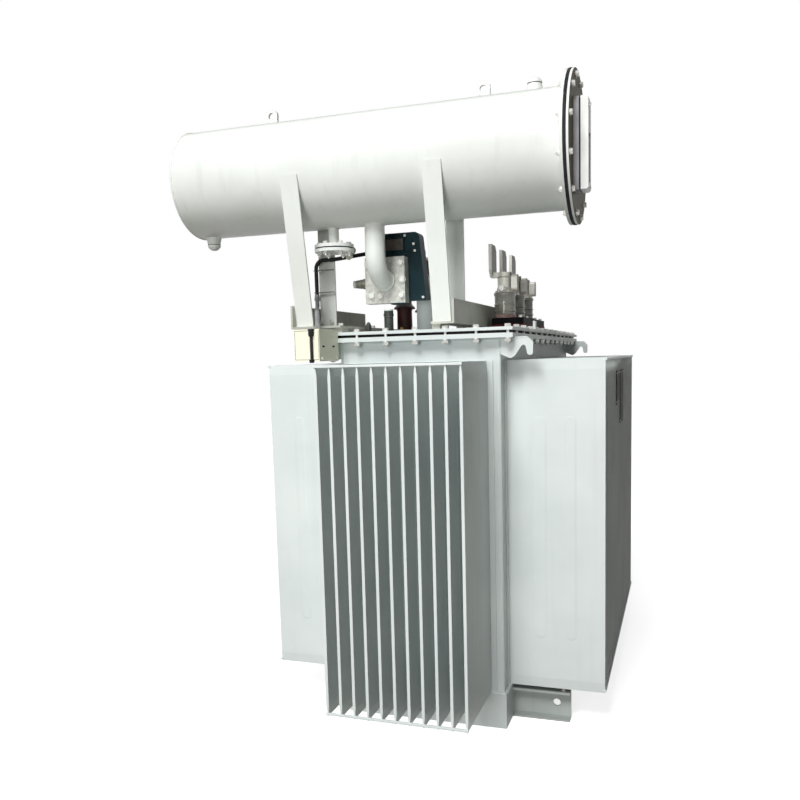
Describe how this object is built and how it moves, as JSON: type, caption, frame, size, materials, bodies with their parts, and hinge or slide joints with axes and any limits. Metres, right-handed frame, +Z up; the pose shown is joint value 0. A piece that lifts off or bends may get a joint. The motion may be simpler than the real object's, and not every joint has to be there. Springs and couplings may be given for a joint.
{
  "type": "oil-filled power transformer",
  "caption": "Oil-filled power transformer with corrugated fin walls, a lying oil drum on legs, a gas relay and top bushings.",
  "frame": {"origin": "centre of the tank's base at floor level", "axes": "+Z up, +X towards the bolted end of the conservator, -Y the side under the conservator"},
  "size_m": [1.6555, 2.413, 2.357],
  "materials": {
    "paint": "semi-gloss",
    "seal": "matte",
    "porcelain": "gloss",
    "terminal_metal": "tinned",
    "clamp_metal": "painted",
    "relay_paint": "semi-gloss",
    "box_paint": "semi-gloss",
    "plate": "satin",
    "gauge_face": "clear",
    "cable_jacket": "matte"
  },
  "bodies": {
    "root": {"base_channel_front": "paint", "base_channel_rear": "paint", "cable_conduit": "paint", "conservator_end_cover": "paint", "conservator_gasket": "seal", "conservator_left_end": "paint", "conservator_shell": "paint", "cover_gasket": "seal", "front_fins": "paint", "front_left_leg": "paint", "front_right_leg": "paint", "gas_relay": "relay_paint", "hv_bushing_1": "porcelain", "hv_bushing_2": "porcelain", "hv_bushing_3": "porcelain", "hv_terminal_1": "terminal_metal", "hv_terminal_2": "terminal_metal", "hv_terminal_3": "terminal_metal", "large_name_plate": "plate", "left_beam": "paint", "left_fins": "paint", "level_gauge_body": "paint", "level_gauge_glass": "gauge_face", "lift_hook_front_left": "paint", "lift_hook_front_right": "paint", "lift_hook_rear_left": "paint", "lift_hook_rear_right": "paint", "lv_base_plate": "clamp_metal", "lv_bushing_1": "porcelain", "lv_bushing_2": "porcelain", "lv_bushing_3": "porcelain", "lv_terminal_1": "terminal_metal", "lv_terminal_2": "terminal_metal", "lv_terminal_3": "terminal_metal", "rear_fins": "paint", "rear_left_leg": "paint", "rear_right_leg": "paint", "relay_front_flange": "paint", "right_beam": "paint", "right_fins": "paint", "signal_cable": "cable_jacket", "small_name_plate": "plate", "spare_branch_blank": "paint", "spare_branch_seal": "seal", "tank_body": "paint", "tank_cover": "paint", "terminal_box": "box_paint"}
  },
  "joints": []
}
